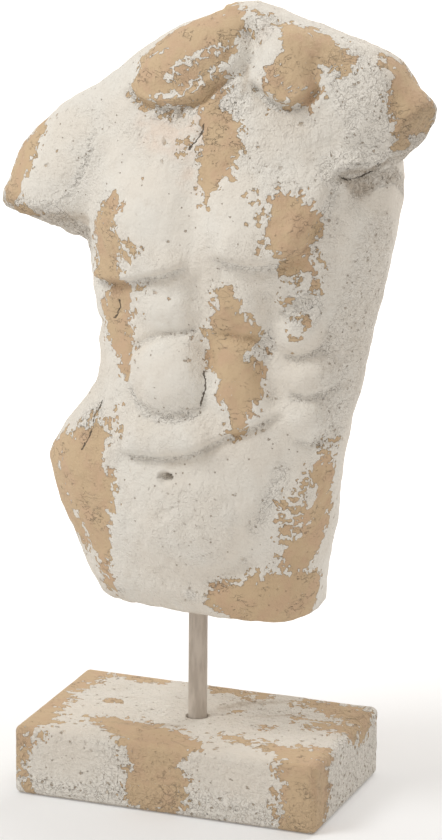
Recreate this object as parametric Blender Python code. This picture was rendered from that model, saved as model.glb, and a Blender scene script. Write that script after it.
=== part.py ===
"""Male torso on a stand: a cast torso, the round rod that carries it, and its block.

Metres, +Z up. The origin is the middle of the block's underside, which is also the
foot of the rod's axis. X runs along the block's long front, Y towards the back.

The torso is worked out in a sculptor's millimetres, in which its underside lies at
height FOOT and its neck at height CROWN; `to_metres` brings it to TORSO_HEIGHT.
Places on its skin are named by an angle round the trunk (0 the middle of the front,
90 the viewer's right, 180 the middle of the back) and a height.
"""
import bmesh
import bpy
import numpy as np

# Driving sizes, metres
PLINTH_WIDTH = 0.200
PLINTH_DEPTH = 0.120
PLINTH_HEIGHT = 0.045
PLINTH_EDGE = 0.0045        # radius of its rounded edges
ROD_RADIUS = 0.006
ROD_SHOWN = 0.079           # between the block and the torso
ROD_IN_PLINTH = 0.030
ROD_IN_TORSO = 0.045
SOCKET_GAP = 0.0006         # round the rod and beyond its ends
TORSO_HEIGHT = 0.376

# How finely it is cut
RAYS_ROUND, RAYS_UP = 280, 210
TORSO_TRIANGLES = 8600
ROD_SIDES = 40
EDGE_STEPS = 4

# The trunk, sculptor's millimetres
FOOT, CROWN = 124.0, 497.0
AXIS_X = 14.0               # the line the angles are measured round
CORE_LOW, CORE_HIGH = 185.0, 415.0      # ends of the line the skin is cast out from
CORE_LEAN = 26.0            # how far its upper end stands to the right
SECTION_POWER = 2.25        # 2 is an ellipse, more is squarer
RELIEF = 1.25               # every modelling stroke is deepened by this

# height, left and right side, front and back of each section
SECTIONS = np.array([
    [110.0, -52.0, 81.0, -46.0, 46.0],
    [126.0, -60.0, 81.0, -50.0, 52.0],
    [145.0, -70.5, 81.5, -55.0, 59.0],
    [165.0, -78.5, 84.5, -58.0, 61.0],
    [185.0, -87.5, 89.5, -60.0, 57.0],
    [205.0, -92.5, 92.5, -60.0, 48.0],
    [213.0, -94.0, 94.0, -60.0, 45.0],
    [225.0, -88.0, 96.0, -60.0, 42.0],
    [240.0, -78.5, 99.5, -60.0, 39.0],
    [255.0, -67.0, 102.0, -59.0, 38.0],
    [270.0, -60.5, 106.5, -57.0, 40.0],
    [290.0, -61.5, 109.0, -55.0, 45.0],
    [310.0, -64.0, 112.0, -55.0, 51.0],
    [330.0, -67.0, 116.0, -57.0, 56.0],
    [350.0, -69.5, 120.0, -60.0, 59.0],
    [370.0, -73.0, 124.0, -60.0, 61.0],
    [390.0, -75.0, 126.5, -57.0, 61.0],
    [410.0, -74.0, 126.0, -52.0, 58.0],
    [430.0, -66.0, 121.0, -46.0, 54.0],
    [447.0, -56.0, 117.0, -40.0, 48.0],
    [460.0, -45.0, 112.0, -35.0, 43.0],
    [472.0, -30.0, 102.0, -29.0, 38.0],
    [484.0, -12.0, 80.0, -21.0, 30.0],
    [492.0, 5.0, 52.0, -12.0, 20.0],
    [497.0, 17.0, 30.0, -3.0, 8.0],
])


def smoothstep(x):
    """0 below 0, 1 above 1, an even rise between."""
    x = np.clip(x, 0.0, 1.0)
    return x * x * (3.0 - 2.0 * x)


def blend(a, b, soft):
    """Union of two distances, the joint filled over `soft`."""
    h = np.clip(0.5 + 0.5 * (b - a) / soft, 0.0, 1.0)
    return b * (1.0 - h) + a * h - soft * h * (1.0 - h)


def pare(a, b, soft):
    """What both distances hold, the edge rounded over `soft`."""
    return -blend(-a, -b, soft)


def section_at(z):
    """The row of SECTIONS at any height: a cubic through the rows."""
    heights, rows = SECTIONS[:, 0], SECTIONS[:, 1:]
    z = np.clip(z, heights[0], heights[-1])
    i = np.clip(np.searchsorted(heights, z) - 1, 0, len(heights) - 2)
    slope = np.gradient(rows, heights, axis=0)
    h = (heights[i + 1] - heights[i])[..., None]
    t = (z - heights[i])[..., None] / h
    return ((2 * t**3 - 3 * t**2 + 1) * rows[i] + (t**3 - 2 * t**2 + t) * h * slope[i]
            + (3 * t**2 - 2 * t**3) * rows[i + 1] + (t**3 - t**2) * h * slope[i + 1])


def trunk(p):
    """Distance to the trunk: sections with |x/a|^n + |y/b|^n = 1."""
    left, right, front, back = np.moveaxis(section_at(p[..., 2]), -1, 0)
    a, b = (right - left) / 2, (back - front) / 2
    x, y = p[..., 0] - (left + right) / 2, p[..., 1] - (front + back) / 2
    n = SECTION_POWER
    d = ((np.abs(x / a)**n + np.abs(y / b)**n)**(1 / n) - 1.0) * np.minimum(a, b)
    above = p[..., 2] - CROWN
    return np.where(above > 0, np.maximum(d, above), d)


def lump(p, centre, radii, turn=0.0):
    """Distance to an ellipsoid, turned in the front view by `turn` degrees."""
    q = p - np.array(centre, float)
    c, s = np.cos(np.radians(turn)), np.sin(np.radians(turn))
    q = np.stack([c * q[..., 0] + s * q[..., 2], q[..., 1], c * q[..., 2] - s * q[..., 0]], -1)
    r = np.array(radii, float)
    k0, k1 = np.linalg.norm(q / r, axis=-1), np.linalg.norm(q / r**2, axis=-1)
    return k0 * (k0 - 1.0) / np.maximum(k1, 1e-9)


def limb(p, start, end, thick, thin):
    """Distance to a round limb from `start`, radius `thick`, to `end`, radius `thin`."""
    start = np.array(start, float)
    run = np.array(end, float) - start
    t = np.clip((p - start) @ run / (run @ run), 0.0, 1.0)
    return np.linalg.norm(p - start - t[..., None] * run, axis=-1) - (thick + (thin - thick) * t)


def cut(p, point, facing):
    """Distance to a flat break through `point` that looks towards `facing`."""
    facing = np.array(facing, float)
    return (p - np.array(point, float)) @ (facing / np.linalg.norm(facing))


def masses(p):
    """Distance to the whole figure before its muscles: below 0 is inside."""
    d = trunk(p)
    for start, end, thick, thin in (((0, 4, 453), (-78, 2, 401), 32, 29),
                                    ((34, 6, 467), (103, 2, 448), 34, 33)):
        d = blend(d, limb(p, start, end, thick, thin), 12)      # the shoulders' yoke
    arm = blend(limb(p, (-66, 2, 402), (-101, -2, 362), 37, 31),
                lump(p, (-89, 0, 385), (30, 31, 34), 40), 8)
    d = blend(d, pare(arm, cut(p, (-103, 0, 355), (-0.26, -0.36, -0.90)), 9), 8)
    arm = pare(limb(p, (92, 4, 441), (132, -1, 438), 38, 20),
               cut(p, (143, -4, 440), (0.86, -0.28, -0.42)), 5)
    d = blend(d, pare(arm, cut(p, (120, 0, 415), (0.18, -0.05, -0.98)), 6), 8)
    d = blend(d, lump(p, (0, -12, 467), (43, 27, 22), 32), 4)   # two lobes round the neck
    d = blend(d, lump(p, (66, -10, 469), (26, 28, 22), -35), 4)
    d = pare(d, cut(p, (0, -50, 134), (-0.06, -0.55, -0.83)), 8)
    return pare(d, FOOT - p[..., 2], 7)


def fan(round_count, up_count):
    """Rays out of the core: they tip from straight down, through a steady slope while
    their foot climbs the core, to straight up. Closer together over the front."""
    v = np.linspace(0.0, 1.0, up_count)
    low, high, steady = 0.20, 0.66, -28.0
    tilt = np.where(v < low, -90 + (90 + steady) * v / low,
                    np.where(v < high, steady, steady + (90 - steady) * (v - high) / (1 - high)))
    climb = np.clip((v - low) / (high - low), 0.0, 1.0)
    feet = np.stack([CORE_LEAN * smoothstep(climb), 0 * v, CORE_LOW + (CORE_HIGH - CORE_LOW) * climb], -1)
    u = np.arange(round_count) / round_count * 2 * np.pi
    u = u - 0.30 * np.sin(u - 0.25)
    c, s = np.cos(np.radians(tilt))[:, None], np.sin(np.radians(tilt))[:, None]
    rays = np.stack([np.sin(u) * c, -np.cos(u) * c, s + 0 * u], -1)
    return np.broadcast_to(feet[:, None, :], rays.shape), rays


def cast(feet, rays, stride=8.0, reach=224.0):
    """Where each ray first leaves `masses`: strides outward, then halvings."""
    inner, outer = np.zeros(rays.shape[:-1]), np.full(rays.shape[:-1], reach)
    inside = np.ones(rays.shape[:-1], bool)
    for far in np.arange(stride, reach, stride):
        gone = masses(feet[inside] + far * rays[inside]) > 0
        left = tuple(axis[gone] for axis in np.nonzero(inside))
        inner[left], outer[left], inside[left] = far - stride, far, False
    for _ in range(12):
        middle = (inner + outer) / 2
        gone = masses(feet + middle[..., None] * rays) > 0
        inner, outer = np.where(gone, inner, middle), np.where(gone, middle, outer)
    return feet + ((inner + outer) / 2)[..., None] * rays


def normals(grid):
    """Outward normals of a grid that closes round and ends in two poles."""
    along = np.roll(grid, -1, 1) - np.roll(grid, 1, 1)
    n = np.cross(along, np.gradient(grid, axis=0))
    n[0], n[-1] = (0, 0, -1), (0, 0, 1)
    return n / np.maximum(np.linalg.norm(n, axis=-1, keepdims=True), 1e-9)


class Clay:
    """The cast skin, and the heights that the modelling strokes add to it."""

    def __init__(self, grid):
        self.shape = grid.shape
        self.skin, self.out = grid.reshape(-1, 3), normals(grid).reshape(-1, 3)
        self.height = np.zeros(len(self.skin))
        self.angle = np.degrees(np.arctan2(self.skin[:, 0] - AXIS_X, -self.skin[:, 1]))

    def at(self, angle, z):
        """Place and normal of the skin at an angle and a height."""
        turn = (self.angle - angle + 180.0) % 360.0 - 180.0
        i = np.argmin((1.3 * turn)**2 + (self.skin[:, 2] - z)**2)
        return self.skin[i], self.out[i]

    def dab(self, angle, z, wide, tall, high, edge=1.3, turn=0.0):
        """A pat of clay: high * (1 - r^2)^edge inside an oval; below 0 it is a hollow."""
        centre, n = self.at(angle, z)
        right = np.cross((0, 0, 1), n)
        right /= np.linalg.norm(right)
        q = self.skin - centre
        x, y, deep = q @ right, q @ np.cross(n, right), q @ n
        c, s = np.cos(np.radians(turn)), np.sin(np.radians(turn))
        r2 = ((c * x + s * y) / wide)**2 + ((c * y - s * x) / tall)**2 + 0.6 * (deep / (wide + tall))**2
        self.height += high * np.maximum(0.0, 1.0 - r2)**edge

    def stroke(self, places):
        """Distance to a smooth line through `places`, the side it lies on, how far along."""
        knots = np.array([self.at(*place)[0] for place in places])
        ends = np.vstack([2 * knots[0] - knots[1], knots, 2 * knots[-1] - knots[-2]])
        t = (np.arange(5) / 5)[:, None]
        line = np.vstack([0.5 * (2 * b + (c - a) * t + (2 * a - 5 * b + 4 * c - d) * t**2
                                 + (3 * b - a - 3 * c + d) * t**3)
                          for a, b, c, d in zip(ends, ends[1:], ends[2:], ends[3:])] + [knots[-1:]])
        length = np.concatenate([[0.0], np.cumsum(np.linalg.norm(np.diff(line, axis=0), axis=1))])
        near = np.linalg.norm(self.skin - line.mean(0), axis=1) < length[-1] / 2 + 80
        skin, out = self.skin[near], self.out[near]
        best = [np.full(len(skin), 1e9), np.zeros(len(skin)), np.zeros(len(skin))]
        for i, run in enumerate(np.diff(line, axis=0)):
            t = np.clip((skin - line[i]) @ run / (run @ run), 0.0, 1.0)
            off = skin - line[i] - t[:, None] * run
            far = np.linalg.norm(off, axis=1)
            nearer = far < best[0]
            side = np.sign((off * np.cross(out, run)).sum(1))
            along = (length[i] + t * (length[i + 1] - length[i])) / length[-1]
            best = [np.where(nearer, new, old) for new, old in zip((far, side, along), best)]
        return near, *best

    def groove(self, places, wide, deep, ends=0.2):
        """A furrow, or a ridge where `deep` is below 0, fading over its ends."""
        near, far, _, along = self.stroke(places)
        fade = smoothstep(along / ends) * smoothstep((1 - along) / ends)
        self.height[near] -= deep * fade * np.exp(-(far / wide)**2)

    def fold(self, places, high, reach, rise, hollow, ends=0.15):
        """A muscle's border: raised on the left of the way it runs, hollow along it."""
        near, far, side, along = self.stroke(places)
        fade = smoothstep(along / ends) * smoothstep((1 - along) / ends)
        lift = smoothstep(far / rise) * np.exp(-(far / reach)**2) * (side > 0)
        self.height[near] += fade * (high * lift - hollow * np.exp(-(far / (0.6 * rise))**2))

    def moulded(self):
        """The skin with its strokes, its two poles drawn together."""
        grid = (self.skin + self.out * RELIEF * self.height[:, None]).reshape(self.shape)
        grid[0], grid[-1] = grid[0].mean(0), grid[-1].mean(0)
        return grid


def model_chest(clay):
    """Breast muscles, breastbone, the arms' roots and the hollows of the neck."""
    clay.dab(-34, 376, 44, 36, 4.5, 1.5)
    clay.dab(34, 382, 40, 34, 4.5, 1.5)
    clay.fold([(-64, 334), (-44, 337), (-27, 341), (-14, 348), (-5, 358)], 5.5, 22, 8, 2.0)
    clay.fold([(12, 358), (27, 354), (40, 354), (50, 358), (56, 368), (60, 383), (64, 397), (69, 411)],
              5.5, 24, 10, 1.6, 0.12)
    clay.dab(51, 372, 16, 18, 2.6, 1.6)
    clay.dab(51, 378, 6, 6, 1.6)
    clay.groove([(2, 430), (-1, 412), (0, 396), (2, 372), (4, 356)], 9, 3.6, 0.3)
    clay.fold([(-73, 368), (-68, 389), (-67, 409), (-69, 430)], 4.5, 20, 10, 2.2, 0.2)
    clay.fold([(68, 411), (72, 412), (78, 414), (83, 420)], 4.0, 14, 6, 1.5, 0.2)
    clay.groove([(69, 412), (66, 424), (63, 438), (66, 452)], 9, 2.4, 0.3)
    clay.groove([(67, 400), (64, 376), (63, 352), (61, 333)], 9, 3.0, 0.3)
    clay.dab(74, 396, 19, 17, -6.5, 2.0)                        # armpit
    clay.groove([(68, 408), (73, 406), (79, 409)], 3.5, 3.0)
    clay.fold([(-66, 454), (-55, 445), (-42, 441), (-27, 442), (-12, 445), (2, 450), (11, 457), (22, 462),
               (34, 469)], 3.2, 13, 6, 2.6, 0.1)
    clay.fold([(41, 465), (43, 458), (48, 452), (54, 448), (60, 450), (64, 457), (67, 464)],
              4.0, 13, 6, 3.0, 0.12)
    clay.dab(-22, 437, 16, 9, -3.5, 1.6)
    clay.dab(58, 443, 15, 9, -2.5, 1.6)
    clay.dab(27, 450, 14, 20, -3.0, 2.0)
    clay.groove([(60, 495), (49, 488), (44, 478), (37, 470), (33, 460)], 6, 5.0)
    clay.groove([(-88, 437), (-69, 433), (-43, 425), (-15, 421)], 9, 1.8, 0.3)


def model_belly(clay):
    """The straight muscle and its folds, the flank's muscles, the lower belly and groins."""
    clay.dab(-16, 322, 24, 17, 3.2)
    clay.fold([(7, 311), (-13, 307), (-28, 301), (-43, 290)], 2.5, 16, 5, 1.6)
    clay.dab(-15, 281, 29, 25, 9.5, 1.1)
    clay.groove([(-42, 280), (-37, 266), (-25, 258), (-12, 256), (2, 259), (9, 265), (11, 280)], 3.5, 1.4)
    clay.groove([(4, 352), (3, 330), (6, 312), (10, 301), (12, 289), (14, 272)], 6, 3.0, 0.15)
    clay.groove([(-40, 244), (-22, 243), (-1, 245), (17, 250)], 10, -4.5, 0.25)
    clay.fold([(-40, 228), (-28, 229), (-9, 231), (7, 236), (21, 244)], 3.8, 14, 5, 2.4, 0.2)
    clay.fold([(2, 234), (12, 239), (21, 244), (32, 251), (41, 256), (47, 260), (52, 265)],
              3.2, 13, 5, 2.4, 0.25)
    clay.dab(29, 327, 22, 20, 3.0)
    clay.fold([(43, 306), (35, 309), (25, 310), (15, 311)], 1.5, 14, 4, 1.4, 0.2)
    clay.dab(30, 281, 22, 30, 5.5)
    clay.groove([(40, 344), (44, 327), (45, 314), (44, 301), (42, 290), (45, 278), (50, 265)], 6, 3.4, 0.12)
    for angle, z, wide, tall, turn in ((56, 315, 19, 16, 20), (62, 288, 20, 15, 8), (59, 260, 17, 15, 0)):
        clay.dab(angle, z, wide, tall, 5.5, 1.4, turn)
    for places in ([(48, 302), (55, 297), (61, 300), (70, 307)], [(49, 277), (58, 273), (65, 275), (75, 280)],
                   [(53, 249), (57, 244), (62, 243), (72, 246)], [(45, 318), (50, 326), (55, 333), (62, 339)]):
        clay.groove(places, 3.2, 1.7, 0.25)
    clay.dab(-4, 194, 52, 44, 5.0)
    clay.groove([(52, 246), (48, 229), (45, 211), (41, 196), (34, 182)], 6, 2.8)
    clay.groove([(44, 170), (32, 164), (20, 156), (11, 143)], 8, 3.4, 0.25)
    clay.dab(60, 145, 44, 24, 3.5)
    clay.dab(60, 205, 16, 26, 3.0)
    clay.dab(-11, 219, 7, 4.5, -5.0, 1.0)                       # navel
    for places in ([(-78, 268), (-62, 262), (-50, 250)], [(-82, 343), (-70, 336), (-60, 331)],
                   [(-84, 303), (-72, 300), (-60, 300)]):
        clay.groove(places, 6, 2.0, 0.3)


def model_back(clay):
    """Spine, shoulder blades, loins and buttocks: fuller, plainer forms."""
    clay.groove([(161, 445), (168, 400), (168, 340), (167, 290), (184, 240), (195, 213)], 11, 6.0)
    clay.groove([(195, 208), (191, 165), (184, 128)], 8, 9.0, 0.12)
    for blade, inner, loin, seat in ((138, 152, (148, 146, 160), 151), (208, 192, (188, 192, 210), 224)):
        clay.dab(blade, 396, 34, 42, 6.0, 1.4)
        clay.groove([(inner, 430), (inner, 395), ((2 * blade + inner) / 3, 356)], 7, 2.5, 0.3)
        clay.groove(list(zip(loin, (340, 290, 235))), 11, -4.0, 0.3)
        clay.dab(seat, 168, 44, 44, 9.0, 1.2)


def material(name, colour, rough, metallic=0.0):
    mat = bpy.data.materials.new(name)
    mat.use_nodes = True
    shader = mat.node_tree.nodes["Principled BSDF"]
    shader.inputs["Base Color"].default_value = (*colour, 1.0)
    shader.inputs["Roughness"].default_value = rough
    shader.inputs["Metallic"].default_value = metallic
    mat.diffuse_color = (*colour, 1.0)
    return mat


def add(name, verts, faces, mat):
    """A closed mesh object, its faces looking outward."""
    mesh = bpy.data.meshes.new(name)
    mesh.from_pydata([tuple(map(float, v)) for v in verts], [], [list(map(int, f)) for f in faces])
    bm = bmesh.new()
    bm.from_mesh(mesh)
    bmesh.ops.recalc_face_normals(bm, faces=bm.faces)
    bm.to_mesh(mesh)
    bm.free()
    obj = bpy.data.objects.new(name, mesh)
    bpy.context.scene.collection.objects.link(obj)
    mesh.materials.append(mat)
    return obj


def bake(obj, kind, **settings):
    """Put one modifier on `obj` and keep what it makes."""
    modifier = obj.modifiers.new(kind.title(), kind)
    for key, value in settings.items():
        setattr(modifier, key, value)
    done = bpy.data.meshes.new_from_object(obj.evaluated_get(bpy.context.evaluated_depsgraph_get()))
    obj.modifiers.clear()
    old, obj.data = obj.data, done
    bpy.data.meshes.remove(old)
    done.name = obj.name


def post(name, radius, low, high, mat):
    """An upright round bar on the origin's axis."""
    turn = np.arange(ROD_SIDES) / ROD_SIDES * 2 * np.pi
    ring = np.stack([radius * np.cos(turn), radius * np.sin(turn)], -1)
    verts = [(x, y, z) for z in (low, high) for x, y in ring]
    n = ROD_SIDES
    sides = [(i, (i + 1) % n, n + (i + 1) % n, n + i) for i in range(n)]
    return add(name, verts, [range(n - 1, -1, -1), *sides, range(n, 2 * n)], mat)


def bore(obj, low, high, mat):
    """A blind hole for the rod in `obj`."""
    drill = post("drill", ROD_RADIUS + SOCKET_GAP, low, high, mat)
    bake(obj, "BOOLEAN", operation="DIFFERENCE", solver="EXACT", object=drill)
    bpy.data.objects.remove(drill)


def make_plinth(mat):
    bm = bmesh.new()
    bmesh.ops.create_cube(bm, size=1.0)
    bmesh.ops.scale(bm, vec=(PLINTH_WIDTH, PLINTH_DEPTH, PLINTH_HEIGHT), verts=bm.verts)
    bmesh.ops.translate(bm, vec=(0, 0, PLINTH_HEIGHT / 2), verts=bm.verts)
    bmesh.ops.bevel(bm, geom=list(bm.edges), offset=PLINTH_EDGE, segments=EDGE_STEPS, profile=0.5,
                    affect="EDGES")
    verts, faces = [v.co[:] for v in bm.verts], [[v.index for v in f.verts] for f in bm.faces]
    bm.free()
    plinth = add("plinth", verts, faces, mat)
    bore(plinth, PLINTH_HEIGHT - ROD_IN_PLINTH - SOCKET_GAP, PLINTH_HEIGHT + 0.010, mat)


def make_torso(mat):
    clay = Clay(cast(*fan(RAYS_ROUND, RAYS_UP)))
    for model in (model_chest, model_belly, model_back):
        model(clay)
    grid = clay.moulded()
    foot = PLINTH_HEIGHT + ROD_SHOWN
    to_metres = TORSO_HEIGHT / (grid[..., 2].max() - FOOT)
    grid = (grid - (0, 0, FOOT)) * to_metres + (0, 0, foot)
    n, rings = RAYS_ROUND, RAYS_UP - 2
    verts = [grid[0, 0], *grid[1:-1].reshape(-1, 3), grid[-1, 0]]
    top = len(verts) - 1
    faces = [(0, 1 + (j + 1) % n, 1 + j) for j in range(n)]
    faces += [(1 + i * n + j, 1 + i * n + (j + 1) % n, 1 + (i + 1) * n + (j + 1) % n, 1 + (i + 1) * n + j)
              for i in range(rings - 1) for j in range(n)]
    faces += [(1 + (rings - 1) * n + j, 1 + (rings - 1) * n + (j + 1) % n, top) for j in range(n)]
    torso = add("torso", verts, faces, mat)
    whole = sum(len(face) - 2 for face in faces)
    bake(torso, "DECIMATE", ratio=TORSO_TRIANGLES / whole, use_collapse_triangulate=True)
    bore(torso, foot - 0.010, foot + ROD_IN_TORSO + SOCKET_GAP, mat)


def main():
    for obj in list(bpy.data.objects):
        bpy.data.objects.remove(obj)
    plaster = material("chalky plaster", (0.72, 0.66, 0.56), 0.85)
    steel = material("painted steel", (0.46, 0.42, 0.35), 0.55)
    make_plinth(plaster)
    post("rod", ROD_RADIUS, PLINTH_HEIGHT - ROD_IN_PLINTH, PLINTH_HEIGHT + ROD_SHOWN + ROD_IN_TORSO, steel)
    make_torso(plaster)


main()
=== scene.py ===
# %% [markdown]
# # A plaster torso on its stand
#
# The object is a cast torso half a metre tall on a rod and a block. Its body is a
# sand-coloured casting under a thin coat of white plaster, which has peeled off in
# flakes. The solids give its size and its main forms. This lesson gives it a finer
# skin, the plaster and its flaking, a camera like the photographer's and the light
# of a small studio.

import bpy
import numpy as np
from mathutils import Matrix, Vector


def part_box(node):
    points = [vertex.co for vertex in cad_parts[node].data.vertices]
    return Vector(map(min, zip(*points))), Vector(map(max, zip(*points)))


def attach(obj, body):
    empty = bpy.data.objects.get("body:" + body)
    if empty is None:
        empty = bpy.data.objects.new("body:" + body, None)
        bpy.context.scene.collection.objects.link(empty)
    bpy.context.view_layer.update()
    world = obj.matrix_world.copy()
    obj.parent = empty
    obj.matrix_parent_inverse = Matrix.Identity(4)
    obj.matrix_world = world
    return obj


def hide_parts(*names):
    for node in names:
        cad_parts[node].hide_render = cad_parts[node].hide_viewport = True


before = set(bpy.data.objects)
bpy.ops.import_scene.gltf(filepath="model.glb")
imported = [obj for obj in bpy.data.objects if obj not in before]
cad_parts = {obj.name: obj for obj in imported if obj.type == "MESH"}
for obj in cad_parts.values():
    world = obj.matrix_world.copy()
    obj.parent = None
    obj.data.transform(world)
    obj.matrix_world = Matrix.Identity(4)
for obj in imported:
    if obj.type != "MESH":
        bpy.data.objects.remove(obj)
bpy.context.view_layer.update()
torso_low, torso_high = (np.array(corner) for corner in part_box("torso"))
block_low, block_high = (np.array(corner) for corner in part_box("plinth"))
rod_low, rod_high = (np.array(corner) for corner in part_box("rod"))
MM = 0.001
print("nodes:", list(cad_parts))
for low, high in ((torso_low, torso_high), (block_low, block_high), (rod_low, rod_high)):
    print("torso, block or rod, mm:", np.round((high - low) / MM, 1))

# %% [markdown]
# The camera comes first, because every later choice is judged through it. The
# corners of the block and the line of the rod in the photograph fix where it stood:
# 2.7 m away, turned 20.6 degrees round to the right and looking 16 degrees down
# through a long lens. A camera matrix holds its right, its up and its back as
# columns, so the pose is built from those three directions.

# %% Camera
def add_object(name, data):
    """A new object at the origin, linked to the scene."""
    made = bpy.data.objects.new(name, data)
    bpy.context.scene.collection.objects.link(made)
    return made


TURN, DROP, ROLL = np.radians((20.63, 15.98, 0.46))
DISTANCE = 2.700
LOOK_AT = Vector((0.01406, 0.0, 0.23931))
FOCAL_PIXELS, IMAGE_HEIGHT = 4396.8, 840

back = Vector((np.sin(TURN) * np.cos(DROP), -np.cos(TURN) * np.cos(DROP), np.sin(DROP)))
level = Vector((np.cos(TURN), np.sin(TURN), 0.0))
upright = back.cross(level)
right = level * np.cos(ROLL) + upright * np.sin(ROLL)
pose = Matrix((right, back.cross(right), back)).transposed().to_4x4()
pose.translation = LOOK_AT + back * DISTANCE

camera = add_object("camera", bpy.data.cameras.new("camera"))
camera.matrix_world = pose
camera.data.sensor_fit = "VERTICAL"
camera.data.sensor_height = 24.0
camera.data.lens = FOCAL_PIXELS * camera.data.sensor_height / IMAGE_HEIGHT
bpy.context.scene.camera = camera
print("lens, mm on a 24 mm high frame:", round(camera.data.lens, 1))

# %% [markdown]
# The photograph is lit by one broad soft light from the front left and above, with
# a weak fill that leaves the right flank a little darker, on pure white. A big area
# light gives the soft edge of the shadows, a second one the fill, a third stands
# behind for the top of the block, and a pale warm world gives the light that comes
# from everywhere. The floor is a wide pale sheet that glows as painted light, full
# behind the stand and about a quarter as strongly in front of it.

# %% Studio
MID_TORSO = Vector((0.0, 0.0, 0.30))


def soft_light(name, place, size, power, tint=(1.0, 1.0, 1.0)):
    """A square lamp at `place` that looks at the middle of the torso."""
    light = bpy.data.lights.new(name, "AREA")
    light.size, light.energy, light.color = size, power, tint
    facing = (MID_TORSO - Vector(place)).to_track_quat("-Z", "Y").to_matrix()
    add_object(name, light).matrix_world = Matrix.Translation(place) @ facing.to_4x4()


soft_light("key", (-0.82, -0.82, 1.70), 0.70, 14.3, (0.955, 0.985, 1.0))
soft_light("fill", (3.6, -3.4, 1.6), 2.6, 4.2)
soft_light("behind", (0.5, 2.1, 1.8), 1.5, 25.0)

world = bpy.data.worlds.new("studio")
world.use_nodes = True
sky = world.node_tree.nodes["Background"].inputs
sky["Color"].default_value, sky["Strength"].default_value = (1.0, 0.945, 0.885, 1.0), 0.61
bpy.context.scene.world = world
bpy.context.scene.view_settings.view_transform = "Standard"

floor_mesh = bpy.data.meshes.new("floor")
floor_mesh.from_pydata([(-30, -30, 0), (30, -30, 0), (30, 60, 0), (-30, 60, 0)], [], [(0, 1, 2, 3)])
floor = add_object("floor", floor_mesh)
print("three lamps and a floor stand ready")

# %% [markdown]
# Shader maths reads best as arithmetic. A `Wire` is one socket of a node tree, and
# adding, multiplying or comparing wires adds the Math nodes that do it. Every other
# node comes from `Finish.node`, which takes the node's type, its settings and what
# goes into its sockets. A colour never goes through Math, which would make it grey:
# `Finish.mix` blends two, and `Finish.over` lays several over a first one.

# %% Wires and finishes
class Wire:
    """An output socket that Python's operators work on."""

    def __init__(self, finish, socket):
        self.finish, self.socket = finish, socket

    def math(self, operation, *values):
        return self.finish.node("ShaderNodeMath", {"operation": operation}, dict(enumerate(values)))

    def __add__(self, other):
        return self.math("ADD", self, other)

    def __sub__(self, other):
        return self.math("SUBTRACT", self, other)

    def __rsub__(self, other):
        return self.math("SUBTRACT", other, self)

    def __mul__(self, other):
        return self.math("MULTIPLY", self, other)

    def __abs__(self):
        return self.math("ABSOLUTE", self)

    def least(self, other):
        return self.math("MINIMUM", self, other)

    def most(self, other):
        return self.math("MAXIMUM", self, other)

    def rise(self, low, high):
        """0 up to `low`, 1 from `high`, smooth between; falls where low is above high."""
        return self.finish.node("ShaderNodeMapRange", {"interpolation_type": "SMOOTHSTEP"},
                                {0: self, 1: low, 2: high, 3: 0.0, 4: 1.0})

    def band(self, low, full, wane, high):
        """0 below `low`, 1 from `full` to `wane`, 0 above `high`."""
        return self.rise(low, full) * self.rise(high, wane)

    __radd__ = __add__


class Finish:
    """One material, and the single way to put a node into it."""

    def __init__(self, name):
        self.material = bpy.data.materials.new(name)
        self.material.use_nodes = True
        self.tree = self.material.node_tree
        self.shader = self.tree.nodes["Principled BSDF"]

    def node(self, kind, settings, sockets, out=0):
        made = self.tree.nodes.new(kind)
        for name, value in settings.items():
            setattr(made, name, value)
        for key, value in sockets.items():
            self.feed(made.inputs[key], value)
        return Wire(self, made.outputs[out])

    def feed(self, socket, value):
        if isinstance(value, Wire):
            self.tree.links.new(value.socket, socket)
        else:
            socket.default_value = (*value, 1.0) if socket.type == "RGBA" else value

    def mix(self, share, a, b):
        """Colour a where the share is 0, b where it is 1."""
        return self.node("ShaderNodeMix", {"data_type": "RGBA"}, {0: share, 6: a, 7: b}, out=2)

    def over(self, ground, *layers):
        """A colour with others laid over it in turn, each given as (share, colour)."""
        for share, colour in layers:
            ground = self.mix(share, ground, colour)
        return ground

    def field(self, name):
        """A number that was kept on the mesh's points."""
        return self.node("ShaderNodeAttribute", {"attribute_name": name}, {}, out="Fac")

    def place(self, stretch=(1.0, 1.0, 1.0)):
        """The point's place in metres, each axis times its own stretch."""
        here = self.node("ShaderNodeTexCoord", {}, {}, out="Object")
        return here if stretch == (1.0, 1.0, 1.0) else \
            self.node("ShaderNodeMapping", {"vector_type": "POINT"}, {"Vector": here, "Scale": stretch})

    def noise(self, size, detail=3.0, rough=0.55, stretch=(1.0, 1.0, 1.0)):
        """Cloudy noise from 0 to 1 about 0.5, its blobs `size` metres across."""
        return self.node("ShaderNodeTexNoise", {}, {"Vector": self.place(stretch), "Scale": 1.0 / size,
                                                    "Detail": detail, "Roughness": rough})

    def pores(self, spacing, radius, share, ragged=0.5):
        """1 inside small holes, one to a cell `spacing` across, in `share` of the cells."""
        cell = {"Vector": self.place(), "Scale": 1.0 / spacing}
        far = self.node("ShaderNodeTexVoronoi", {}, cell, out="Distance")
        tint = Wire(self, far.socket.node.outputs["Color"])
        lot = self.node("ShaderNodeSeparateColor", {}, {0: tint})
        size = radius / spacing
        return (far + (ragged - 0.5) * (size * 3.0)).rise(size, size * 0.45) \
            * lot.rise(share + 0.02, share - 0.02)

    def wear(self, colour, roughness, height):
        """Feed the shader a colour, a roughness and, through a Bump node, a height in millimetres."""
        bump = self.node("ShaderNodeBump", {}, {"Strength": 1.0, "Distance": 1.0, "Height": height * MM})
        for name, value in (("Base Color", colour), ("Roughness", roughness), ("Normal", bump)):
            self.feed(self.shader.inputs[name], value)


print("the kit for finishes is ready")

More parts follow.
